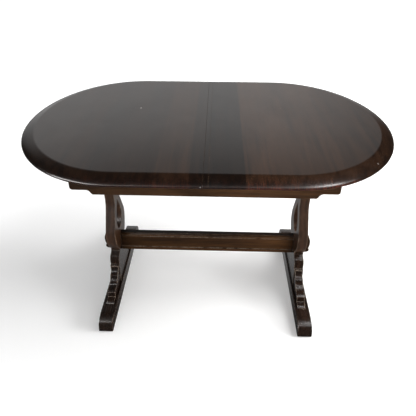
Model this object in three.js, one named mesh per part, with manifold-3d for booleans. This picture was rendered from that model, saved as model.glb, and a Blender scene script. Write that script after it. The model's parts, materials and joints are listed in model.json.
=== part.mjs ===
// Extendable dining table: two racetrack-ended top halves that slide apart on grooved runners,
// over a rail frame carried by two pierced lyre trestles with sledge feet and one stretcher.
// Millimetres. +X runs along the length, +Y to the back, +Z up, and the origin is on the floor
// under the centre of the closed table.
import * as THREE from 'three';
import { mergeVertices } from 'three/addons/utils/BufferGeometryUtils.js';
import Module from 'manifold-3d';

const wasm = await Module();
wasm.setup();

// Table top
const TOP_Z = 750;            // height of the flat top
const TOP_T = 25;             // thickness of the boards
const TOP_STRAIGHT = 247.5;   // centre of each round end, from the joint
const TOP_R = 352.5;          // radius of each round end, and half the width
const THUMB_W = 45;           // width of the rolled edge
const THUMB_H = 17;           // fall of the rolled edge
const UNDER_W = 9;            // width of the small round under the rolled edge
const UNDER_H = 7;            // height of the small round under the rolled edge
const LIPPING_W = 14;         // solid strip beside the joint
const DOWEL_R = 5;
const DOWEL_Y = [-220, 0, 220];

// Rail frame
const RAIL_END = 387;
const RAIL_Y = [252, 272];    // inner and outer face, from the centre line
const RAIL_Z = [638, 724.3];
const RAIL_TAIL_Z = 654;      // underside of the shallow ends
const BEARER_Z = [648, 700];
const BEARER_Y = 251.7;
const CORNER_LEG = 45;

// Slides
const GUIDE_Y = [206.5, 228.5];
const GUIDE_END = 388;
const RUNNER_T = 20;
const RUNNER_Z = [700.7, 724.7];
const RUNNER_OUT = 410;       // outer end, from the joint
const RUNNER_TAIL = 330;      // reach past the joint, under the other half
const TONGUE = 6;
const TONGUE_Z = [709, 717];
const GROOVE_TAIL = 320;      // the groove is blind here and stops the slide
const TRAVEL = 200;           // travel of each half

// Stored leaf
const LEAF_X = 199.5;
const LEAF_Y = 176;
const LEAF_T = 25;
const LEAF_BASE = 649.3;
const BATTEN_X = 150;

// Trestles
const TRESTLE_X = 356;        // centre plane of each trestle
const PANEL_T = 35;
const PANEL_Z = [52.3, 647.7];
const PANEL_BASE = 76;        // half width of the panel's plain base
const BRACKET_T = 29;
const BEARER_T = 38;
const FOOT_X = [333, 384];    // inner and outer face of each foot
const FOOT_END = 257;
const FOOT_H = 52;

// Stretcher
const STRETCHER_Z = [159, 243];
const STRETCHER_T = 26;
const TENON_T = 16;

// Latches
const LATCH_X = -45;
const LATCH_Y = { latch_front: -90, latch_back: 90 };
const PIVOT_R = 4;
const POST_R = 3.5;
const POST_REACH = 68;        // pivot to keeper post

const GAP = 0.3;              // clearance between touching pieces

const oak = (color, roughness) => new THREE.MeshStandardMaterial({ color, roughness, metalness: 0 });
const topOak = oak(0x2b1a14, 0.28);
const frameOak = oak(0x3b2519, 0.42);
const trestleOak = oak(0x35231a, 0.45);
const innerWood = oak(0x8a6a48, 0.7);
const brass = new THREE.MeshStandardMaterial({ color: 0x9a7a3a, roughness: 0.4, metalness: 1 });
const steel = new THREE.MeshStandardMaterial({ color: 0x6d6d6c, roughness: 0.45, metalness: 1 });

const table = new THREE.Group();

function add(name, geometry, material) {
  const mesh = new THREE.Mesh(geometry, material);
  mesh.name = name;
  table.add(mesh);
  return mesh;
}

// Closed three.js geometry to a solid, and back.
function solid(geometry) {
  const bare = geometry.clone();
  bare.deleteAttribute('normal');
  bare.deleteAttribute('uv');
  const merged = mergeVertices(bare, 1e-4);
  return new wasm.Manifold(new wasm.Mesh({
    numProp: 3,
    vertProperties: new Float32Array(merged.attributes.position.array),
    triVerts: new Uint32Array(merged.index.array),
  }));
}

function geometryOf(manifold) {
  const { vertProperties, triVerts } = manifold.getMesh();
  const geometry = new THREE.BufferGeometry();
  geometry.setAttribute('position', new THREE.BufferAttribute(new Float32Array(vertProperties), 3));
  geometry.setIndex(new THREE.BufferAttribute(new Uint32Array(triVerts), 1));
  geometry.computeVertexNormals();
  return geometry;
}

function box(x0, x1, y0, y1, z0, z1) {
  return new THREE.BoxGeometry(x1 - x0, y1 - y0, z1 - z0)
    .translate((x0 + x1) / 2, (y0 + y1) / 2, (z0 + z1) / 2);
}

function rod(radius, length, segments = 24) {
  return new THREE.CylinderGeometry(radius, radius, length, segments);
}
const rodX = (radius, x0, x1, y, z) =>
  rod(radius, x1 - x0).rotateZ(-Math.PI / 2).translate((x0 + x1) / 2, y, z);
const rodZ = (radius, z0, z1, x, y) =>
  rod(radius, z1 - z0, 32).rotateX(Math.PI / 2).translate(x, y, (z0 + z1) / 2);

// Outline in (Y, Z), swept along +X from x0 to x1.
function sweepX(shape, x0, x1, curveSegments = 8) {
  const turn = new THREE.Matrix4().makeBasis(
    new THREE.Vector3(0, 1, 0), new THREE.Vector3(0, 0, 1), new THREE.Vector3(1, 0, 0));
  return new THREE.ExtrudeGeometry(shape, { depth: x1 - x0, bevelEnabled: false, curveSegments })
    .applyMatrix4(turn).translate(x0, 0, 0);
}

// Outline in (X, Z), swept along -Y from y1 to y0.
function sweepY(shape, y0, y1, curveSegments = 8) {
  const turn = new THREE.Matrix4().makeBasis(
    new THREE.Vector3(1, 0, 0), new THREE.Vector3(0, 0, 1), new THREE.Vector3(0, -1, 0));
  return new THREE.ExtrudeGeometry(shape, { depth: y1 - y0, bevelEnabled: false, curveSegments })
    .applyMatrix4(turn).translate(0, y1, 0);
}

// A path drawn on the positive side of an axis of symmetry, closed with its mirror image.
function mirrored(path, divisions) {
  const half = path.getPoints(divisions);
  const other = half.filter((p) => p.x > 1e-6).map((p) => new THREE.Vector2(-p.x, p.y)).reverse();
  return [...half, ...other];
}

// Racetrack outline in plan.
function racetrack() {
  const shape = new THREE.Shape();
  shape.moveTo(-TOP_STRAIGHT, -TOP_R);
  shape.lineTo(TOP_STRAIGHT, -TOP_R);
  shape.absarc(TOP_STRAIGHT, 0, TOP_R, -Math.PI / 2, Math.PI / 2, false);
  shape.lineTo(-TOP_STRAIGHT, TOP_R);
  shape.absarc(-TOP_STRAIGHT, 0, TOP_R, Math.PI / 2, 1.5 * Math.PI, false);
  return shape;
}

// Racetrack slab whose rim is rounded by a quarter ellipse of the given width and height.
function rolledSlab(width, height, segments, z0, z1) {
  const geometry = new THREE.ExtrudeGeometry(racetrack(), {
    depth: z1 - z0 - 2 * height, bevelThickness: height, bevelSize: width, bevelOffset: -width,
    bevelSegments: segments, curveSegments: 24,
  });
  return solid(geometry.translate(0, 0, z0 + height));
}

// The whole top: the roll shapes its upper side, the small round its lower side.
function wholeTop() {
  const upper = rolledSlab(THUMB_W, THUMB_H, 7, TOP_Z - 100, TOP_Z);
  const lower = rolledSlab(UNDER_W, UNDER_H, 3, TOP_Z - TOP_T, TOP_Z + 100);
  return upper.intersect(lower);
}

const dowelZ = TOP_Z - TOP_T / 2;
const dowelHoles = (x0, x1) => DOWEL_Y.map((y) => solid(rodX(DOWEL_R + GAP, x0, x1, y, dowelZ)));

function topPiece(x0, x1, holes) {
  const piece = wholeTop().intersect(solid(box(x0, x1, -400, 400, 700, 800)));
  return geometryOf(holes.reduce((body, hole) => body.subtract(hole), piece));
}

const JOINT = 0.25;
add('top_left', topPiece(-700, -JOINT, dowelHoles(-22, 5)), topOak);
add('top_right_lipping', topPiece(JOINT, LIPPING_W, dowelHoles(-5, 20)), topOak);
add('top_right', topPiece(LIPPING_W + GAP, 700, dowelHoles(10, 31)), topOak);
['front', 'middle', 'back'].forEach((place, i) => {
  add(`joint_dowel_${place}`, rodX(DOWEL_R, -20, 30, DOWEL_Y[i], dowelZ), innerWood);
});

// Rails: a straight run with shallow, round-cornered tails reached through an ogee.
function railOutline() {
  const half = new THREE.Path();
  half.moveTo(0, RAIL_Z[0]);
  half.lineTo(320, RAIL_Z[0]);
  half.bezierCurveTo(328, RAIL_Z[0], 328, RAIL_TAIL_Z, 340, RAIL_TAIL_Z);
  half.lineTo(RAIL_END - 10, RAIL_TAIL_Z);
  half.quadraticCurveTo(RAIL_END, RAIL_TAIL_Z, RAIL_END, RAIL_TAIL_Z + 10);
  half.lineTo(RAIL_END, RAIL_Z[1]);
  half.lineTo(0, RAIL_Z[1]);
  return new THREE.Shape(mirrored(half, 8));
}
add('rail_front', sweepY(railOutline(), -RAIL_Y[1], -RAIL_Y[0]), frameOak);
add('rail_back', sweepY(railOutline(), RAIL_Y[0], RAIL_Y[1]), frameOak);

// Corner blocks: right-angled prisms between a rail and a bearer.
function cornerBlock(sx, sy) {
  const x = sx * (TRESTLE_X - BEARER_T / 2 - GAP);
  const y = sy * (RAIL_Y[0] - GAP);
  const corners = [[x, y], [x - sx * CORNER_LEG, y], [x, y - sy * CORNER_LEG]];
  const shape = new THREE.Shape(corners.map(([px, py]) => new THREE.Vector2(px, py)));
  return new THREE.ExtrudeGeometry(shape, { depth: 44, bevelEnabled: false }).translate(0, 0, 655);
}

// Bracket in front of or behind the panel's base: two coves, a square fillet and a sloping end.
function bracketOutline(sy) {
  const path = new THREE.Path();
  const heel = PANEL_BASE + GAP;
  path.moveTo(heel, PANEL_Z[0]);
  path.lineTo(182, PANEL_Z[0]);
  path.lineTo(181, 54);
  path.quadraticCurveTo(175, 59, 168, 60);
  path.lineTo(156, 61);
  path.lineTo(154, 81);
  path.quadraticCurveTo(141, 89, 124, 86);
  path.lineTo(120, 90);
  path.quadraticCurveTo(106, 92, 101, 109);
  path.lineTo(97, 111);
  path.quadraticCurveTo(83, 113, 79, 130);
  path.lineTo(78, 134);
  path.lineTo(heel, 134);
  return new THREE.Shape(path.getPoints(6).map((p) => new THREE.Vector2(sy * p.x, p.y)));
}

// Sledge foot: a flat bar with rounded toes.
function footOutline() {
  const half = new THREE.Path();
  half.moveTo(0, 0);
  half.lineTo(FOOT_END - 4, 0);
  half.lineTo(FOOT_END, 6);
  half.quadraticCurveTo(FOOT_END - 1, 33, FOOT_END - 12, 41);
  half.quadraticCurveTo(FOOT_END - 26, 51, FOOT_END - 48, FOOT_H);
  half.lineTo(0, FOOT_H);
  return new THREE.Shape(mirrored(half, 8));
}

// Lyre panel: a plain base with an ovolo on it, narrow neck, round belly, waist and flared head.
function panelOutline() {
  const half = new THREE.Path();
  half.moveTo(0, PANEL_Z[0]);
  half.lineTo(PANEL_BASE, PANEL_Z[0]);
  half.lineTo(PANEL_BASE, 136);
  half.lineTo(69, 137);
  half.lineTo(69, 143);
  half.bezierCurveTo(72, 162, 65, 175, 50, 177);
  half.lineTo(42, 181);
  half.lineTo(41, 191);
  half.splineThru([
    [52, 206], [65, 228], [73, 252], [77, 280], [75, 300], [66, 322], [54, 350], [42, 377],
    [33, 402], [33, 440], [42, 466], [62, 494], [88, 524], [104, 556], [108, 600],
  ].map(([y, z]) => new THREE.Vector2(y, z)));
  half.lineTo(116, 618);
  half.quadraticCurveTo(128, 630, 130, PANEL_Z[1]);
  half.lineTo(0, PANEL_Z[1]);
  return new THREE.Shape(mirrored(half, 3));
}

// Teardrop piercing in the belly.
function teardrop() {
  const half = new THREE.Path();
  half.moveTo(0, 268);
  half.bezierCurveTo(20, 268, 35, 288, 35, 314);
  half.bezierCurveTo(35, 340, 16, 370, 0, 402);
  return new THREE.Path(mirrored(half, 10));
}

function panel(x0, x1) {
  const shape = panelOutline();
  shape.holes.push(teardrop());
  const mortise = box(x0 - 5, x1 + 5, -TENON_T / 2 - GAP, TENON_T / 2 + GAP,
    STRETCHER_Z[0] + 1 - GAP, STRETCHER_Z[1] - 1 + GAP);
  return geometryOf(solid(sweepX(shape, x0, x1)).subtract(solid(mortise)));
}

for (const [side, sx] of [['left', -1], ['right', 1]]) {
  const centre = sx * TRESTLE_X;
  const span = (thickness) => [centre - thickness / 2, centre + thickness / 2];
  const [footStart, footEnd] = FOOT_X.map((x) => sx * x).sort((a, b) => a - b);
  add(`foot_${side}`, sweepX(footOutline(), footStart, footEnd), trestleOak);
  add(`bracket_${side}_front`, sweepX(bracketOutline(-1), ...span(BRACKET_T)), trestleOak);
  add(`bracket_${side}_back`, sweepX(bracketOutline(1), ...span(BRACKET_T)), trestleOak);
  add(`panel_${side}`, panel(...span(PANEL_T)), trestleOak);
  add(`bearer_${side}`, box(...span(BEARER_T), -BEARER_Y, BEARER_Y, ...BEARER_Z), frameOak);
  add(`corner_block_${side}_front`, cornerBlock(sx, -1), innerWood);
  add(`corner_block_${side}_back`, cornerBlock(sx, 1), innerWood);
  add(`leaf_batten_${side}`, box(sx * BATTEN_X - 22, sx * BATTEN_X + 22,
    -BEARER_Y, BEARER_Y, RAIL_Z[0], LEAF_BASE - GAP), innerWood);
}

// Stretcher: a bar with a chamfered top, two scratched beads on each face and a shaped through
// tenon at each end.
function stretcherSection() {
  const half = new THREE.Path();
  const y = STRETCHER_T / 2;
  const [z0, z1] = STRETCHER_Z;
  half.moveTo(0, z0);
  half.lineTo(y - 2, z0);
  half.lineTo(y, z0 + 2);
  for (const z of [z0 + 16, z1 - 14.5]) {
    half.lineTo(y, z);
    half.lineTo(y - 2, z + 1.5);
    half.lineTo(y, z + 3);
  }
  half.lineTo(y, z1 - 5);
  half.lineTo(y - 5, z1);
  half.lineTo(0, z1);
  return new THREE.Shape(mirrored(half, 4));
}

function tenonOutline() {
  const half = new THREE.Path();
  const [z0, z1] = [STRETCHER_Z[0] + 1, STRETCHER_Z[1] - 1];
  half.moveTo(0, z0);
  half.lineTo(388, z0);
  half.bezierCurveTo(405, z0, 409, z0 + 16, 398, z0 + 20);
  half.lineTo(401, z0 + 24);
  half.bezierCurveTo(407, z0 + 38, 408, z1 - 8, 389, z1);
  half.lineTo(0, z1);
  return new THREE.Shape(mirrored(half, 8));
}

const WEDGE_X = [TRESTLE_X + PANEL_T / 2 + GAP, 385];
const WEDGE_Z = [STRETCHER_Z[0] - 8, STRETCHER_Z[1] + 4];
const WEDGE_T = 8;
const shoulder = TRESTLE_X - PANEL_T / 2 - GAP;
let stretcher = solid(sweepX(stretcherSection(), -shoulder, shoulder))
  .add(solid(sweepY(tenonOutline(), -TENON_T / 2, TENON_T / 2)));
for (const sx of [-1, 1]) {
  const [x0, x1] = [sx * (WEDGE_X[0] - 3), sx * (WEDGE_X[1] + GAP)].sort((a, b) => a - b);
  const slot = box(x0, x1, -WEDGE_T / 2 - GAP, WEDGE_T / 2 + GAP, 100, 300);
  stretcher = stretcher.subtract(solid(slot));
}
add('stretcher', geometryOf(stretcher), trestleOak);

// Wedges: upright keys with a round head, slightly tapered on the outer edge.
function wedgeOutline() {
  const [x0, x1] = WEDGE_X;
  const [z0, z1] = WEDGE_Z;
  const shape = new THREE.Shape();
  shape.moveTo(x0, z0);
  shape.lineTo(x1 - 3, z0);
  shape.lineTo(x1, z1 - 7);
  shape.quadraticCurveTo(x1, z1, x1 - 6, z1);
  shape.lineTo(x0 + 2, z1);
  shape.lineTo(x0, z1 - 2);
  return shape;
}
for (const [side, turn] of [['left', Math.PI], ['right', 0]]) {
  add(`wedge_${side}`, sweepY(wedgeOutline(), -WEDGE_T / 2, WEDGE_T / 2), trestleOak).rotation.z = turn;
}

// Fixed guide: a bar with a tongue on each long face. The tongue ends where the slide must stop.
function guide(sy) {
  const [inner, outer] = GUIDE_Y;
  const stop = GROOVE_TAIL - TRAVEL - 0.5;
  const [z0, z1] = TONGUE_Z;
  const strip = (x0, x1, a, b, za, zb) =>
    solid(box(x0, x1, Math.min(sy * a, sy * b), Math.max(sy * a, sy * b), za, zb));
  return geometryOf(strip(-GUIDE_END, GUIDE_END, inner, outer, BEARER_Z[1] + GAP, 724)
    .add(strip(-stop, GUIDE_END, outer - 1, outer + TONGUE, z0, z1))
    .add(strip(-GUIDE_END, stop, inner - TONGUE, inner + 1, z0, z1)));
}
add('guide_front', guide(-1), innerWood);
add('guide_back', guide(1), innerWood);

// Runner of the right half at the given distance from the centre line, grooved towards the guide.
function runner(sy, near, grooveInside) {
  const far = near + RUNNER_T;
  const depth = TONGUE + 1;
  const [a, b] = grooveInside ? [near - 1, near + depth] : [far - depth, far + 1];
  const bar = solid(box(-RUNNER_TAIL, RUNNER_OUT, Math.min(sy * near, sy * far),
    Math.max(sy * near, sy * far), ...RUNNER_Z));
  const groove = solid(box(-GROOVE_TAIL, RUNNER_OUT + 1, Math.min(sy * a, sy * b),
    Math.max(sy * a, sy * b), TONGUE_Z[0] - 0.5, TONGUE_Z[1] + 0.5));
  return geometryOf(bar.subtract(groove));
}
const outerRunner = GUIDE_Y[1] + 0.5;
const innerRunner = GUIDE_Y[0] - 0.5 - RUNNER_T;
add('runner_right_front', runner(-1, outerRunner, true), innerWood);
add('runner_right_back', runner(1, outerRunner, true), innerWood);
// A half turn carries a back runner to the front of the left half.
add('runner_left_front', runner(1, innerRunner, false), innerWood).rotation.z = Math.PI;
add('runner_left_back', runner(-1, innerRunner, false), innerWood).rotation.z = Math.PI;

// Leaf boards, show faces together, each with the rolled edge on its outer end.
function leafOutline(base, up) {
  const z = (h) => (up ? base + h : base + LEAF_T - h);
  const shape = new THREE.Shape();
  shape.moveTo(-LEAF_Y, z(0));
  shape.lineTo(LEAF_Y - UNDER_W, z(0));
  shape.quadraticCurveTo(LEAF_Y, z(0), LEAF_Y, z(UNDER_H));
  shape.lineTo(LEAF_Y, z(LEAF_T - THUMB_H));
  shape.bezierCurveTo(LEAF_Y, z(LEAF_T - 7), LEAF_Y - 20, z(LEAF_T), LEAF_Y - THUMB_W, z(LEAF_T));
  shape.lineTo(-LEAF_Y, z(LEAF_T));
  return shape;
}
const upperBase = LEAF_BASE + LEAF_T + 0.6;
add('leaf_lower', sweepX(leafOutline(LEAF_BASE, true), -LEAF_X, LEAF_X), topOak);
add('leaf_upper', sweepX(leafOutline(upperBase, false), -LEAF_X, LEAF_X), topOak);

// Leaf hinges: two plates on the hinged edge, with interleaved knuckles on one pin.
const KNUCKLE_R = 3.4;
const PIN_R = 1.6;
const hingeY = -LEAF_Y - GAP - KNUCKLE_R;
const hingeZ = LEAF_BASE + LEAF_T + GAP;
function hingePlate(x, dir, knuckles) {
  const face = [-LEAF_Y - GAP - 1.6, -LEAF_Y - GAP];
  const between = (a, b) => [hingeZ + dir * a, hingeZ + dir * b].sort((p, q) => p - q);
  let plate = solid(box(x - 24, x + 24, ...face, ...between(4.2, 20)));
  for (const [x0, x1] of knuckles) {
    plate = plate.add(solid(box(x + x0, x + x1, ...face, ...between(0, 5))));
    plate = plate.add(solid(rodX(KNUCKLE_R, x + x0, x + x1, hingeY, hingeZ)));
  }
  return geometryOf(plate.subtract(solid(rodX(PIN_R + GAP, x - 30, x + 30, hingeY, hingeZ))));
}
for (const [side, x] of [['left', -120], ['right', 120]]) {
  add(`leaf_hinge_${side}_lower`, hingePlate(x, -1, [[-8, 8]]), brass);
  add(`leaf_hinge_${side}_upper`, hingePlate(x, 1, [[-24, -8.5], [8.5, 24]]), brass);
  add(`leaf_hinge_${side}_pin`, rodX(PIN_R, x - 26, x + 26, hingeY, hingeZ), steel);
}

// Latches under the joint. The lever is drawn open, pointing to the back.
const underside = TOP_Z - TOP_T - GAP;
function latchBase(x, y) {
  return geometryOf(solid(box(x - 22, x + 18, y - 15, y + 15, underside - 2.2, underside))
    .add(solid(rodZ(PIVOT_R, 708, underside - 1, x, y)))
    .add(solid(rodZ(PIVOT_R + 3, 706.5, 709, x, y))));
}

function latchLever(x, y) {
  const shape = new THREE.Shape();
  shape.moveTo(-10, 0);
  shape.absarc(0, 0, 10, Math.PI, 1.9 * Math.PI, false);
  shape.lineTo(8, 60);
  shape.lineTo(8, POST_REACH - 4.5);
  shape.lineTo(-4.5, POST_REACH - 4.5);
  shape.lineTo(-4.5, POST_REACH + 4.5);
  shape.lineTo(8, POST_REACH + 4.5);
  shape.lineTo(8, POST_REACH + 9);
  shape.quadraticCurveTo(2, POST_REACH + 12, -6, POST_REACH + 12);
  shape.quadraticCurveTo(-12, POST_REACH + 8, -12, POST_REACH);
  const arm = new THREE.ExtrudeGeometry(shape, { depth: 6, bevelEnabled: false, curveSegments: 10 });
  return geometryOf(solid(arm.translate(x, y, 710)).subtract(solid(rodZ(PIVOT_R + GAP, 700, 720, x, y))));
}

function latchKeeper(x, y) {
  return geometryOf(solid(box(x - 5, x + 24, y - 12, y + 12, underside - 2.2, underside))
    .add(solid(rodZ(POST_R, 708, underside - 1, x, y))));
}

for (const [name, y] of Object.entries(LATCH_Y)) {
  add(`${name}_base`, latchBase(LATCH_X, y), brass);
  add(`${name}_lever`, latchLever(LATCH_X, y), brass);
  add(`${name}_keeper`, latchKeeper(LATCH_X + POST_REACH, y), brass);
}

export default table;
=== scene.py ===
"""Looks for the extendable dining table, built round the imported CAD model. Metres, +Z up.

The two top halves and the lipping between them are modelled here with their rolled edge; every
other piece is a refined copy of its CAD solid, with worn, rounded arrises. All wood, brass and
steel is procedural.
"""
import json
import math
from types import SimpleNamespace

import bmesh
import bpy
from mathutils import Matrix, Vector, noise


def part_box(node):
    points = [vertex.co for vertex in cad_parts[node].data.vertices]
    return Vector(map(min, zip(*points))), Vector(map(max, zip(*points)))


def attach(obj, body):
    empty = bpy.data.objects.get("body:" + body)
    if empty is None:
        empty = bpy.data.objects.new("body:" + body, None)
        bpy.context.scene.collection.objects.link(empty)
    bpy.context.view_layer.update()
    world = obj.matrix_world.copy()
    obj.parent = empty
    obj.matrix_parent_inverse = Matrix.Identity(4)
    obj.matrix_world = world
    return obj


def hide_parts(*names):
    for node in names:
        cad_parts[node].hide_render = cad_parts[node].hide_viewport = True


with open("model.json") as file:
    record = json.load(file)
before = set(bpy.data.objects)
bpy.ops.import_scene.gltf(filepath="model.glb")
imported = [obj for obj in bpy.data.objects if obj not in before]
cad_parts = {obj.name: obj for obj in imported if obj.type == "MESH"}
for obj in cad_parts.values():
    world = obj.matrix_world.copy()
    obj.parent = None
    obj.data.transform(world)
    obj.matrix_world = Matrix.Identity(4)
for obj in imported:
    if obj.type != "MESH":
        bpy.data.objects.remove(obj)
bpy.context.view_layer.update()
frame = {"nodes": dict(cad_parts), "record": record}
NODES = frame["nodes"]
BODY_OF = {node: body for body, nodes in frame["record"]["behaviour"]["bodies"].items() for node in nodes}
MM = 0.001

# --------------------------------------------------------------------------- dimensions
TOP_LOW, TOP_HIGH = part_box("top_right")
LIPPING_LOW, LIPPING_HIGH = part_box("top_right_lipping")
TOP_RADIUS = TOP_HIGH.y
TOP_STRAIGHT = TOP_HIGH.x - TOP_RADIUS
THUMB = Vector((41 * MM, 17 * MM))      # width and fall of the rolled edge
UNDER = Vector((9 * MM, 7 * MM))        # width and rise of the small round below it
JOINT_ARRIS = 0.5 * MM                  # softened corners at the joint
GLUED_ARRIS = 0.15 * MM                 # corners at the glue line of the lipping
PANEL_BASE = (180 * MM, 200 * MM)       # heights between which a panel's darker base ends
TINY = 0.01 * MM

FLAT_TURN = math.radians(0.6)           # faces that turn less than this become one flat face
ARRIS_TURN = math.radians(33)           # edges that turn more than this are rounded
SHADING_TURN = math.radians(50)         # edges that turn more than this are shaded sharp
CORNER_TURN = math.radians(60)          # turn at the corners of a flat end

# Steps round the roll, round the small round below it, along each straight edge and round each end.
ROLL_STEPS, UNDER_STEPS, EDGE_STEPS, END_STEPS = 16, 6, 32, 150

# Lightness of the top by X position: each tone holds from its place to the next board's.
BOARDS = [(-0.60, 0.50), (-0.46, 0.62), (-0.325, 0.52), (-0.133, 0.95), (-0.040, 0.42), (0.0, 0.34),
          (0.112, 1.35), (0.235, 1.25), (0.411, 1.0), (0.50, 0.80)]
# Painted light and shade along the stretcher and the rails, blended from one place to the next:
# darker to the left, lighter to the right, and dark at the stretcher's ends beside the trestles, where
# shade falls.
STRETCHER_LIGHT_AND_SHADE = [(-0.42, 0.25), (-0.36, 0.45), (-0.30, 0.60), (-0.10, 0.62), (0.05, 0.80),
                   (0.15, 1.25), (0.26, 1.45), (0.33, 0.9), (0.42, 0.25)]
RAIL_LIGHT_AND_SHADE = [(-0.45, 0.45), (-0.25, 0.60), (-0.05, 0.80), (0.10, 1.15), (0.30, 1.25), (0.45, 0.8)]

# Each stain as its dark and its light colour, and what shows where the stain has worn off.
TOP_STAIN = (0.0036, 0.0016, 0.0009), (0.028, 0.0128, 0.0062)
PANEL_STAIN = (0.0090, 0.0039, 0.0019), (0.072, 0.0335, 0.0165)
FOOT_STAIN = (0.0020, 0.0011, 0.0008), (0.025, 0.0118, 0.0068)
RAIL_STAIN = (0.0140, 0.0055, 0.0015), (0.108, 0.0450, 0.0120)
STRETCHER_STAIN = PANEL_STAIN[0], RAIL_STAIN[1]
BEECH = (0.30, 0.185, 0.10), (0.50, 0.34, 0.20)
BARE_OAK = (0.200, 0.120, 0.068)
# Lighter than the worn oak above: it paints the sheen of light on the trestle's rounded rims as well as
# their rubbing.
RUBBED_OAK_AND_SHEEN = (0.360, 0.270, 0.200)
BARE_BEECH = (0.55, 0.40, 0.25)

# Small pale flakes and a dark spot in the top: X, Y, depth below the flat top, radius and colour.
CHALK, DARK_SPOT = (0.34, 0.32, 0.30), (0.002, 0.001, 0.001)
CHIPS = [(-0.234, 0.070, 0.0, 6 * MM, CHALK), (-0.410, 0.088, 0.0, 5 * MM, DARK_SPOT),
         (-0.588, -0.075, 8 * MM, 5 * MM, CHALK), (0.488, -0.243, 2 * MM, 6 * MM, CHALK),
         (0.505, -0.225, 2 * MM, 4 * MM, CHALK), (-0.006, -0.351, 17 * MM, 2.5 * MM, CHALK)]


# --------------------------------------------------------------------------- node helpers
class Graph:
    """A short way to write the nodes of a material or a world: each call adds and links one node."""

    def __init__(self, owner):
        owner.use_nodes = True
        self.owner = owner
        self.tree = owner.node_tree
        self.tree.nodes.clear()

    def node(self, kind, inputs=None, **settings):
        made = self.tree.nodes.new("ShaderNode" + kind)
        for key, value in settings.items():
            setattr(made, key, value)
        for key, value in (inputs or {}).items():
            if isinstance(value, bpy.types.NodeSocket):
                self.tree.links.new(value, made.inputs[key])
            else:
                made.inputs[key].default_value = value
        return made

    def math(self, operation, a, b=0.0):
        return self.node("Math", {0: a, 1: b}, operation=operation).outputs[0]

    def weigh(self, *pairs, start=0.0):
        """start, plus each value times its weight."""
        total = start
        for value, weight in pairs:
            total = self.node("Math", {0: value, 1: weight, 2: total}, operation="MULTIPLY_ADD").outputs[0]
        return total

    def remap(self, value, low, high, to_low=0.0, to_high=1.0):
        return self.node("MapRange", {0: value, 1: low, 2: high, 3: to_low, 4: to_high}).outputs[0]

    def mix(self, factor, a, b, blend="MIX"):
        made = self.node("Mix", {0: factor, 6: a, 7: b}, data_type="RGBA", blend_type=blend)
        return made.outputs[2]

    def tinted(self, colour, tint):
        return self.mix(1.0, colour, tint, "MULTIPLY")

    def ramp(self, factor, stops, interpolation="LINEAR"):
        made = self.node("ValToRGB", {0: factor})
        made.color_ramp.interpolation = interpolation
        elements = made.color_ramp.elements
        while len(elements) < len(stops):
            elements.new(0.5)
        for element, (position, colour) in zip(elements, stops):
            element.position = position
            element.color = (*colour, 1.0) if isinstance(colour, tuple) else (colour, colour, colour, 1.0)
        return made.outputs[0]

    def noise(self, vector, scale, detail=3.0, roughness=0.55, distortion=0.0):
        made = self.node("TexNoise", {"Vector": vector, "Scale": scale, "Detail": detail,
                                      "Roughness": roughness, "Distortion": distortion})
        return made.outputs[0]

    def stretched(self, vector, scale, shift=(0.0, 0.0, 0.0)):
        return self.node("Mapping", {0: vector, 1: shift, 3: scale}).outputs[0]

    def place(self):
        return self.node("TexCoord").outputs["Object"]

    def normal(self):
        return self.node("NewGeometry").outputs["Normal"]

    def axis(self, vector, index):
        return self.node("SeparateXYZ", {0: vector}).outputs[index]

    def finish(self, shader):
        self.node("OutputMaterial", {0: shader})
        return self.owner


def grade(colour, gain):
    return (*(channel * gain for channel in colour), 1.0)


# --------------------------------------------------------------------------- wood
def grain_layers(g, along, seed):
    """The noise fields that a timber's colour, gloss and bump share, drawn out along its fibres."""
    place = g.place()
    shift = (seed * 1.7, seed * 2.3, seed * 0.9)

    def drawn(amount):
        stretch = tuple(amount if axis == along else 1.0 for axis in range(3))
        return g.stretched(place, stretch, shift)

    figure = g.node("TexWave", {"Vector": drawn(0.09), "Scale": 17.0, "Distortion": 7.0, "Detail": 3.0,
                                "Detail Scale": 1.6, "Detail Roughness": 0.6},
                    wave_type="BANDS", bands_direction="XYZ"[(along + 1) % 3]).outputs[1]
    pore_noise = g.noise(drawn(0.03), scale=620.0, detail=2.0, roughness=0.5)
    rubbing = g.noise(drawn(1.0), scale=38.0, detail=4.0, roughness=0.65)
    return SimpleNamespace(
        place=place, shift=shift, figure=figure,
        warp=g.noise(drawn(0.35), scale=5.0, detail=2.0),
        fibre=g.noise(drawn(0.022), scale=240.0, detail=4.0, roughness=0.62),
        streak=g.noise(drawn(0.05), scale=55.0, roughness=0.6, distortion=0.6),
        blotch=g.noise(drawn(0.5), scale=9.0, roughness=0.5, distortion=0.4),
        wave=g.noise(drawn(0.4), scale=16.0, detail=2.0),
        smear=g.noise(drawn(1.0), scale=11.0, detail=5.0, roughness=0.6, distortion=0.8),
        pore=g.ramp(pore_noise, [(0.58, 0.0), (0.72, 1.0)]),
        rubbed=g.ramp(rubbing, [(0.36, 0.0), (0.56, 1.0)]))


def stained(g, layers, stain):
    dark, light = stain
    middle = tuple((a + b) / 2 for a, b in zip(dark, light))
    tone = g.weigh((layers.streak, 0.42), (layers.fibre, 0.34), (layers.figure, 0.16),
                   (layers.blotch, 0.34), (layers.warp, 0.10))
    return g.ramp(tone, [(0.42, dark), (0.66, middle), (0.92, light)])


def tone_and_shade_along_x(g, layers, tones_and_shading, blend):
    """Lightness by X position: board colours on the top, painted light and shade on the rails and the
    stretcher. Its borders wander a little, as a glue line in worn polish does.
    """
    span = TOP_HIGH.x * 2
    wander = 1.2 * MM
    where = g.weigh((g.axis(layers.place, 0), 1 / span), (layers.warp, wander / span),
                    start=(TOP_HIGH.x - wander / 2) / span)
    return g.ramp(where, [((x + TOP_HIGH.x) / span, tone) for x, tone in tones_and_shading], blend)


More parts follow.
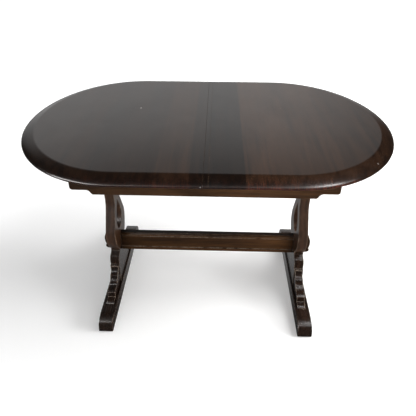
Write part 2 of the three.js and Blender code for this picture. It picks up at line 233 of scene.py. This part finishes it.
def end_grain_mask(g, layers, along, half_width):
    """Where the surface is cut across fibres that end half_width from the middle."""
    cut = g.remap(g.math("ABSOLUTE", g.axis(g.normal(), along)), 0.25, 0.8)
    from_middle = g.math("ABSOLUTE", g.axis(layers.place, along))
    rim = g.remap(from_middle, half_width - 60 * MM, half_width - 15 * MM)
    return g.math("MULTIPLY", cut, rim)


def end_grain_lines_and_sheen(g, layers):
    """Fine upright streaks: cut fibres take up more stain and turn a deeper red. The lightest streaks
    are a painted sheen, the light caught along the cut fibres.
    """
    lines = g.noise(g.stretched(layers.place, (1.0, 0.12, 0.12), layers.shift), scale=330.0, roughness=0.6)
    return g.ramp(lines, [(0.40, (0.4, 0.12, 0.08)), (0.5, (1.7, 0.60, 0.36)), (0.62, (4.4, 1.9, 1.2))])


def chipped(g, layers, colour, chips):
    for x, y, depth, radius, tint in chips:
        spot = (x, y, TOP_HIGH.z - depth)
        away = g.node("VectorMath", {0: layers.place, 1: spot}, operation="DISTANCE").outputs["Value"]
        ragged = g.weigh((layers.blotch, 2 * radius), (away, 1.0), start=-radius)
        colour = g.mix(g.remap(ragged, radius, 0.4 * radius), colour, (*tint, 1.0))
    return colour


def arris_wear_and_sheen(g, layers, wear_and_rim_sheen):
    """Where the normal of a rounded surface leaves the true one, in patches: the rubbed rims, which on
    the trestle also carry a painted sheen of light.
    """
    rounded = g.node("Bevel", {0: 3.5 * MM}, samples=6).outputs[0]
    turn = g.node("VectorMath", {0: rounded, 1: g.normal()}, operation="DOT_PRODUCT").outputs["Value"]
    return g.math("MULTIPLY", g.math("MULTIPLY", g.remap(turn, 0.995, 0.86), layers.rubbed), wear_and_rim_sheen)


def grime_and_corner_shade(g, reach):
    """Painted shade in the inside corners, darkest where they close in, together with old wax and dust."""
    hollow = g.node("AmbientOcclusion", {"Distance": reach}, samples=6, only_local=False).outputs["AO"]
    return g.ramp(hollow, [(0.35, 1.0), (0.85, 0.0)])


def wood(name, grain, stain, bare_and_rim_sheen, roughness, gloss=0.5, wear_and_rim_sheen=0.5, seed=0.0, pores=1.0, grime_and_shade=0.6,
         reach=22 * MM, tones_and_shading=None, blend="LINEAR", upper=None, low=None, end_grain=None, chips=()):
    """Stained and polished timber.

    grain is the axis the fibres follow, and bare the colour where the stain is worn, which for the
    trestle is a lighter colour that also paints the sheen of light on its rounded rims. tones is a list of
    (X position, lightness): board colours on the top, painted light and shade on the rails and the
    stretcher. upper is the lightness of faces that look up, a painted shade. low is the lightness of a
    panel's base, where the polish is also smoother. reach is how far the painted shade and grime spread
    from an inside corner, and end_grain the half width at whose rim the surface is cut across the fibres.
    """
    g = Graph(bpy.data.materials.new(name))
    along = "XYZ".index(grain)
    layers = grain_layers(g, along, seed)
    dark = stain[0]
    rough_parts = [(layers.smear, 0.14), (layers.pore, 0.12 * pores)]
    rough_start = roughness - 0.06

    colour = stained(g, layers, stain)
    # Board colours on the top; painted light and shade along the rails and the stretcher.
    if tones_and_shading:
        colour = g.tinted(colour, tone_and_shade_along_x(g, layers, tones_and_shading, blend))
    if low:
        smoother = 0.14
        base = g.ramp(g.axis(layers.place, 2), list(zip(PANEL_BASE, (low, 1.0))))
        colour = g.tinted(colour, base)
        rough_parts.append((base, smoother))
        rough_start -= smoother
    # Painted shade: faces that look up are darkened, for the stretcher's top mirrors the dark underside of
    # the table top.
    if upper:
        colour = g.tinted(colour, g.ramp(g.axis(g.normal(), 2), [(0.5, 1.0), (0.9, upper)]))
    colour = g.mix(g.math("MULTIPLY", layers.pore, 0.5 * pores), colour, grade(dark, 0.45))
    if end_grain:
        cut = end_grain_mask(g, layers, along, end_grain)
        colour = g.mix(cut, colour, g.tinted(colour, end_grain_lines_and_sheen(g, layers)))
        rough_parts.append((cut, 0.22))
    colour = chipped(g, layers, colour, chips)
    # The rims take the worn colour: rubbing, and on the trestle a painted sheen of light as well.
    worn = arris_wear_and_sheen(g, layers, wear_and_rim_sheen)
    colour = g.mix(worn, colour, (*bare_and_rim_sheen, 1.0))
    rough_parts.append((worn, 0.2))
    # Painted shade in the inside corners, with old wax and dust.
    colour = g.mix(g.math("MULTIPLY", grime_and_corner_shade(g, reach), grime_and_shade), colour, grade(dark, 0.35))

    height = g.weigh((layers.fibre, 0.35), (layers.pore, -0.55 * pores), (layers.streak, 0.25))
    fine = g.node("Bump", {"Height": height, "Strength": 0.28, "Distance": 0.25 * MM}).outputs[0]
    normal = g.node("Bump", {"Height": layers.wave, "Strength": 0.10, "Distance": 2.0 * MM,
                             "Normal": fine}).outputs[0]
    shader = g.node("BsdfPrincipled", {"Base Color": colour, "Normal": normal, "IOR": 1.5,
                                       "Roughness": g.weigh(*rough_parts, start=rough_start),
                                       "Specular IOR Level": gloss}).outputs[0]
    return g.finish(shader)


def metal(name, colour, tarnish, roughness):
    """Aged metal, blotched with tarnish, with fine scratches across its faces."""
    g = Graph(bpy.data.materials.new(name))
    place = g.place()
    blotch = g.ramp(g.noise(place, scale=160.0, detail=5.0, roughness=0.6), [(0.42, 0.0), (0.66, 1.0)])
    scratch = g.noise(g.stretched(place, (1.0, 0.04, 1.0)), scale=1400.0, detail=2.0)
    tint = g.mix(blotch, (*colour, 1.0), (*tarnish, 1.0))
    bump = g.node("Bump", {"Height": scratch, "Strength": 0.2, "Distance": 0.05 * MM}).outputs[0]
    shader = g.node("BsdfPrincipled", {"Base Color": tint, "Metallic": 1.0, "Normal": bump,
                                       "Roughness": g.weigh((blotch, 0.2), start=roughness)}).outputs[0]
    return g.finish(shader)


def plain_beech(name, grain, seed):
    return wood(name, grain, BEECH, BARE_BEECH, 0.6, wear_and_rim_sheen=0.2, pores=0.4, seed=seed)


MATERIALS = {
    "top_oak": wood("top_oak_polish", "Y", TOP_STAIN, BARE_OAK, 0.20, wear_and_rim_sheen=0.12, pores=0.35, grime_and_shade=0.2,
                    tones_and_shading=BOARDS, blend="CONSTANT", end_grain=TOP_RADIUS, chips=CHIPS),
    "leaf_oak": wood("leaf_oak_polish", "Y", TOP_STAIN, BARE_OAK, 0.26, wear_and_rim_sheen=0.15, seed=3.1),
    "rail_oak": wood("rail_oak_polish", "X", RAIL_STAIN, BARE_OAK, 0.40, gloss=0.2, wear_and_rim_sheen=0.6, seed=1.3,
                     tones_and_shading=RAIL_LIGHT_AND_SHADE),
    "bearer_oak": wood("bearer_oak_polish", "Y", RAIL_STAIN, BARE_OAK, 0.45, seed=5.2),
    "panel_oak": wood("panel_oak_polish", "Z", PANEL_STAIN, RUBBED_OAK_AND_SHEEN, 0.32, wear_and_rim_sheen=0.9, seed=2.2,
                      reach=40 * MM, low=0.35),
    "foot_oak": wood("foot_oak_polish", "Y", FOOT_STAIN, RUBBED_OAK_AND_SHEEN, 0.22, gloss=0.6, wear_and_rim_sheen=1.0, seed=4.4,
                     reach=40 * MM),
    "stretcher_oak": wood("stretcher_oak_polish", "X", STRETCHER_STAIN, RUBBED_OAK_AND_SHEEN, 0.34, gloss=0.2,
                          wear_and_rim_sheen=0.9, seed=6.7, grime_and_shade=0.9, reach=80 * MM, tones_and_shading=STRETCHER_LIGHT_AND_SHADE, upper=0.2),
    "inner_x": plain_beech("plain_beech_x", "X", 7.7),
    "inner_y": plain_beech("plain_beech_y", "Y", 8.8),
    "inner_z": plain_beech("plain_beech_z", "Z", 9.9),
    "brass": metal("aged_brass", (0.50, 0.34, 0.12), (0.16, 0.10, 0.04), 0.34),
    "steel_pin": metal("plain_steel", (0.42, 0.42, 0.41), (0.20, 0.19, 0.18), 0.38),
}

# First part of a node's name, the material it takes and the radius of its worn arrises in mm.
FINISHES = [
    ("panel_", "panel_oak", 2.4), ("bracket_", "foot_oak", 1.3), ("foot_", "foot_oak", 2.6),
    ("stretcher", "stretcher_oak", 0.9), ("wedge_", "panel_oak", 1.4), ("rail_", "rail_oak", 1.6),
    ("bearer_", "bearer_oak", 1.5), ("leaf_batten", "inner_y", 1.0),
    ("leaf_hinge_left_pin", "steel_pin", 0.3), ("leaf_hinge_right_pin", "steel_pin", 0.3),
    ("leaf_hinge", "brass", 0.25), ("leaf_", "leaf_oak", 1.2), ("latch_", "brass", 0.4),
    ("corner_block", "inner_z", 1.2), ("guide_", "inner_x", 0.8), ("runner_", "inner_x", 1.0),
    ("joint_dowel", "inner_x", 0.8),
]


# --------------------------------------------------------------------------- mesh helpers
def piece(name, bm, material, nodes):
    """Turns a bmesh into an object that stands for the CAD nodes and rides where they ride."""
    bmesh.ops.recalc_face_normals(bm, faces=bm.faces)
    mesh = bpy.data.meshes.new(name)
    bm.to_mesh(mesh)
    bm.free()
    mesh.shade_smooth()
    mesh.set_sharp_from_angle(angle=SHADING_TURN)
    made = bpy.data.objects.new(name, mesh)
    bpy.context.scene.collection.objects.link(made)
    mesh.materials.append(material)
    level = made.modifiers.new("flat_faces", "WEIGHTED_NORMAL")
    level.keep_sharp = True
    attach(made, BODY_OF[nodes[0]])
    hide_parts(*nodes)


def refine(node, material, arris):
    """A copy of a CAD solid with its flat faces whole again and its sharp edges rounded."""
    bm = bmesh.new()
    bm.from_mesh(NODES[node].data)
    bmesh.ops.remove_doubles(bm, verts=bm.verts, dist=TINY)
    bmesh.ops.dissolve_limit(bm, angle_limit=FLAT_TURN, verts=bm.verts, edges=bm.edges)
    sharp = [e for e in bm.edges if e.is_manifold and e.calc_face_angle() > ARRIS_TURN]
    bmesh.ops.bevel(bm, geom=sharp, offset=arris, segments=3, profile=0.5, affect="EDGES",
                    clamp_overlap=True)
    piece(node + "_finished", bm, material, [node])


# --------------------------------------------------------------------------- the top
def bend(t, leaving, arriving):
    """A Bezier curve from 0 to 1 whose inner control points are at leaving and arriving."""
    return 3 * leaving * t * (1 - t) ** 2 + 3 * arriving * t * t * (1 - t) + t ** 3


def rim_profile():
    """(inset, height) pairs down the rolled edge, from the flat top to the underside.

    The roll leaves the flat top at an angle of about 15 degrees and ends upright.
    """
    roll = []
    for i in range(ROLL_STEPS + 1):
        t = (i / ROLL_STEPS) ** 0.8     # longer steps beside the flat top, shorter ones lower down
        roll.append((THUMB.x * (1 - bend(t, 0.4, 1.0)), TOP_HIGH.z - THUMB.y * bend(t, 0.25, 0.7)))
    turns = [i / UNDER_STEPS * math.pi / 2 for i in range(UNDER_STEPS + 1)]
    under = [(UNDER.x * (1 - math.cos(t)), TOP_LOW.z + UNDER.y * (1 - math.sin(t))) for t in turns]
    return roll + under


def rim_outline(x0, x1, inset, sign):
    """Plan outline of a half: from its flat end at x0, round the curve about x1, and back to x0."""
    half = TOP_RADIUS - inset
    run = [x0 + (x1 - x0) * i / EDGE_STEPS for i in range(EDGE_STEPS)]
    turns = [math.pi * (i / END_STEPS - 0.5) for i in range(END_STEPS + 1)]
    points = [(x, -half) for x in run]
    points += [(x1 + half * math.cos(a), half * math.sin(a)) for a in turns]
    points += [(x, half) for x in reversed(run)]
    return [(sign * x, y) for x, y in points]


def hand_planed(point, out):
    """The point pushed in a little, on the roll only, as by slow hand-planed unevenness."""
    if TOP_LOW.z + TINY < point.z < TOP_HIGH.z - TINY:
        slow, quick = noise.noise(point * 9.0), noise.noise(point * 31.0)
        return point - out * abs(0.25 * MM * slow + 0.12 * MM * quick)
    return point


def bevel_end(bm, x, arris):
    """Soften the corners round the flat end that stands at x."""
    bmesh.ops.recalc_face_normals(bm, faces=bm.faces)
    corners = [e for e in bm.edges if e.is_manifold and e.calc_face_angle() > CORNER_TURN
               and all(abs(v.co.x - x) < TINY for v in e.verts)]
    bmesh.ops.bevel(bm, geom=corners, offset=arris, segments=2, profile=0.5, affect="EDGES",
                    clamp_overlap=True)


def rolled_top(name, node, x0, x1, sign, arris):
    """One half of the top: its flat end is at x0, and its round end is centred on x1."""
    bm = bmesh.new()
    rings = []
    for inset, z in rim_profile():
        ring = []
        for x, y in rim_outline(x0, x1, inset, sign):
            axis_x = min(max(x * sign, x0), x1) * sign
            out = Vector((x - axis_x, y, 0)).normalized()
            ring.append(bm.verts.new(hand_planed(Vector((x, y, z)), out)))
        rings.append(ring)
    for upper, lower in zip(rings, rings[1:]):
        for i in range(len(upper) - 1):
            bm.faces.new((upper[i], upper[i + 1], lower[i + 1], lower[i]))
    bm.faces.new(rings[0])
    bm.faces.new(list(reversed(rings[-1])))
    bm.faces.new([ring[0] for ring in rings] + [ring[-1] for ring in reversed(rings)])
    bevel_end(bm, x0 * sign, arris)
    piece(name, bm, MATERIALS["top_oak"], [node])


def rolled_lipping():
    """The narrow strip beside the joint, with the same roll at both ends."""
    bm = bmesh.new()
    sides = []
    for x in (LIPPING_LOW.x, LIPPING_HIGH.x):
        side = []
        for facing, profile in ((-1, rim_profile()), (1, reversed(rim_profile()))):
            out = Vector((0, facing, 0))
            for inset, z in profile:
                point = Vector((x, facing * (TOP_RADIUS - inset), z))
                side.append(bm.verts.new(hand_planed(point, out)))
        sides.append(side)
    left, right = sides
    for i in range(len(left)):
        bm.faces.new((left[i - 1], left[i], right[i], right[i - 1]))
    bm.faces.new(left)
    bm.faces.new(list(reversed(right)))
    bevel_end(bm, LIPPING_LOW.x, JOINT_ARRIS)
    bevel_end(bm, LIPPING_HIGH.x, GLUED_ARRIS)
    piece("top_right_lipping_finished", bm, MATERIALS["top_oak"], ["top_right_lipping"])


def build_top():
    rolled_top("top_left_finished", "top_left", -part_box("top_left")[1].x, TOP_STRAIGHT, -1, JOINT_ARRIS)
    rolled_top("top_right_finished", "top_right", TOP_LOW.x, TOP_STRAIGHT, 1, GLUED_ARRIS)
    rolled_lipping()


def build_rest():
    done = {"top_left", "top_right", "top_right_lipping"}
    for node in sorted(set(NODES) - done):
        material, arris = next((m, r) for start, m, r in FINISHES if node.startswith(start))
        refine(node, MATERIALS[material], arris * MM)


# --------------------------------------------------------------------------- camera, floor and light
def build_camera():
    """Eye height of a standing person close to the table, looking down at it."""
    data = bpy.data.cameras.new("camera")
    data.sensor_width = 36.0
    data.lens = 34.62
    data.shift_y = -0.2404
    camera = bpy.data.objects.new("camera", data)
    bpy.context.scene.collection.objects.link(camera)
    down, turned, tilt = math.radians(26.41), math.radians(1.60), math.radians(0.08)
    camera.matrix_world = (Matrix.Translation((0.0369, -1.1861, 1.3775)) @ Matrix.Rotation(turned, 4, "Z")
                           @ Matrix.Rotation(math.pi / 2 - down, 4, "X") @ Matrix.Rotation(tilt, 4, "Z"))
    bpy.context.scene.camera = camera


def floor_material():
    """Pale floor that fades into the backdrop: a painted glow, stronger farther from the table, adds to
    the light it gets. The polish mirrors it pale at the back and dim in front.
    """
    g = Graph(bpy.data.materials.new("pale_floor"))
    place = g.place()
    tint = g.ramp(g.noise(place, scale=1.5, detail=2.0), [(0.3, 0.86), (0.7, 0.88)])
    away = g.node("VectorMath", {0: place}, operation="LENGTH").outputs["Value"]
    pale = g.node("BsdfPrincipled", {"Base Color": tint, "Roughness": 0.9, "Specular IOR Level": 0.1,
                                     "Emission Color": (1, 1, 1, 1),
                                     "Emission Strength": g.remap(away, 0.9, 2.2, 0.21, 0.55)})
    mirrored = g.node("Emission", {"Color": (1, 1, 1, 1),
                                   "Strength": g.remap(g.axis(place, 1), -0.15, 0.20, 0.06, 0.42)})
    gloss = g.node("LightPath").outputs["Is Glossy Ray"]
    return g.finish(g.node("MixShader", {0: gloss, 1: pale.outputs[0], 2: mirrored.outputs[0]}).outputs[0])


def build_floor():
    half, sunk = 30.0, 0.2 * MM
    mesh = bpy.data.meshes.new("floor")
    corners = [(-half, -half), (half, -half), (half, half), (-half, half)]
    mesh.from_pydata([(x, y, -sunk) for x, y in corners], [], [(0, 1, 2, 3)])
    mesh.materials.append(floor_material())
    floor = bpy.data.objects.new("floor", mesh)
    bpy.context.scene.collection.objects.link(floor)


def build_world():
    """White backdrop, an even fill, and a bright wall behind the table for the polish to mirror."""
    world = bpy.data.worlds.new("studio")
    bpy.context.scene.world = world
    g = Graph(world)
    side, back, up = g.node("SeparateXYZ", {0: g.node("TexCoord").outputs["Generated"]}).outputs
    level = g.math("SQRT", g.math("SUBTRACT", 1.0, g.math("MULTIPLY", up, up)))
    # The wall stands ten degrees to the left of straight back, and fades out to both sides.
    turned = g.weigh((back, 0.98), (side, -0.17))
    facing = g.remap(g.math("DIVIDE", turned, g.math("MAXIMUM", level, 0.01)), 0.70, 0.94)
    # Brightness by the sine of the height above the horizon. The stops stand at about 0, 24, 27, 30,
    # 34, 40, 46 and 60 degrees.
    wall = g.ramp(up, [(0.0, 0.9), (0.40, 1.0), (0.454, 1.15), (0.505, 1.0), (0.556, 0.47),
                       (0.643, 0.22), (0.72, 0.12), (0.87, 0.0)])
    dim_room = 0.03
    mirrored = g.math("ADD", g.math("MULTIPLY", facing, wall), dim_room)

    def white(strength):
        return g.node("Background", {0: (1, 1, 1, 1), 1: strength}).outputs[0]

    path = g.node("LightPath")
    lit = g.node("MixShader", {0: path.outputs["Is Glossy Ray"], 1: white(0.50), 2: white(mirrored)})
    seen = g.node("MixShader", {0: path.outputs["Is Camera Ray"], 1: lit.outputs[0], 2: white(1.0)})
    g.node("OutputWorld", {0: seen.outputs[0]})


def area_light(name, place, aim, size, watts, diffuse=True, glossy=True):
    data = bpy.data.lights.new(name, "AREA")
    data.shape = "RECTANGLE"
    data.size, data.size_y = size
    data.energy = watts
    lamp = bpy.data.objects.new(name, data)
    bpy.context.scene.collection.objects.link(lamp)
    lamp.location = place
    lamp.rotation_euler = (Vector(aim) - Vector(place)).to_track_quat("-Z", "Y").to_euler()
    lamp.visible_diffuse = diffuse
    lamp.visible_glossy = glossy


def soft_light(name, place, aim, size, watts):
    """Lights the scene, and isn't mirrored in the polish."""
    area_light(name, place, aim, size, watts, glossy=False)


def card(name, place, aim, size, watts):
    """Is mirrored in the polish, and lights nothing else."""
    area_light(name, place, aim, size, watts, diffuse=False)


def build_light():
    soft_light("key_side", place=(3.2, 0.0, 4.4), aim=(-0.2, 0, 0.2), size=(3.6, 3.2), watts=215)
    soft_light("low_side", place=(4.0, -0.3, 1.6), aim=(0.2, 0, 0.2), size=(2.4, 1.2), watts=185)
    soft_light("front_right", place=(0.95, -2.6, 0.45), aim=(0.3, 0, 0.2), size=(1.2, 0.5), watts=12)
    soft_light("front_left", place=(-0.95, -2.6, 0.45), aim=(-0.3, 0, 0.2), size=(1.2, 0.5), watts=5)
    card("card_right", place=(1.75, -0.7, 3.35), aim=(0.1, 0, 0.5), size=(0.6, 0.6), watts=58)
    card("card_left", place=(-1.95, -1.5, 1.75), aim=(-0.38, -0.32, 0.74), size=(1.5, 1.0), watts=130)
    card("card_front", place=(0.75, -1.5, 2.9), aim=(0.35, -0.15, 0.25), size=(0.7, 0.5), watts=5)
    view = bpy.context.scene.view_settings
    view.view_transform = "Standard"
    view.look = "None"


build_camera()
build_floor()
build_world()
build_light()
build_top()
build_rest()
